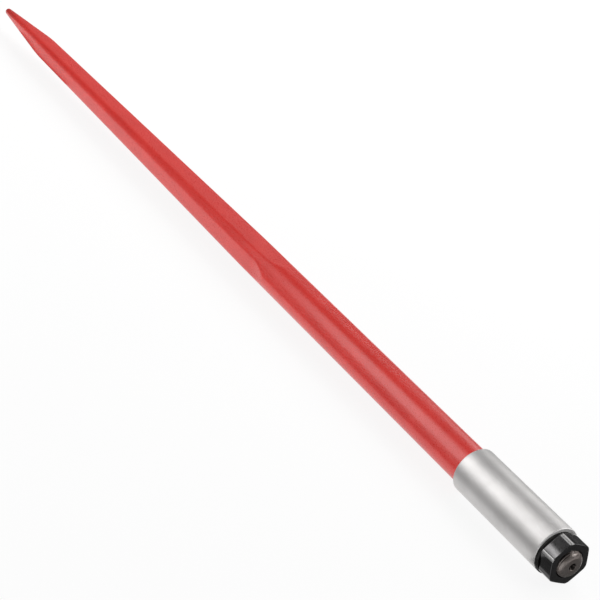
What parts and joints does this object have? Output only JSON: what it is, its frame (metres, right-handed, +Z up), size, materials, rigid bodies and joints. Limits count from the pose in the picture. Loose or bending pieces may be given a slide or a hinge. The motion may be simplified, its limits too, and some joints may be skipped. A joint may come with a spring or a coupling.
{
  "type": "bale spear",
  "caption": "Square-tapered forged spear on a round shaft, cone-seated in a weld-in sleeve and drawn home by a washer and hexagon nut.",
  "frame": {"origin": "middle of the weld-in sleeve, on the spear's axis, where the bore of the loader frame holds it", "axes": "+X along the spear's axis towards its point; +Z up, square to the top flat of the taper; the sleeve and nut lie along -X"},
  "size_m": [1.412, 0.0534, 0.0534],
  "materials": {
    "spear": "glossy red powder coat on the forged spear, bare brown-black steel on the threaded stud",
    "sleeve": "fine turned steel, satin",
    "washer": "black oxide steel",
    "hex_nut": "black oxide steel, semi-gloss"
  },
  "bodies": {
    "root": {"spear": "spear", "sleeve": "sleeve", "washer": "washer", "hex_nut": "hex_nut"}
  },
  "joints": []
}
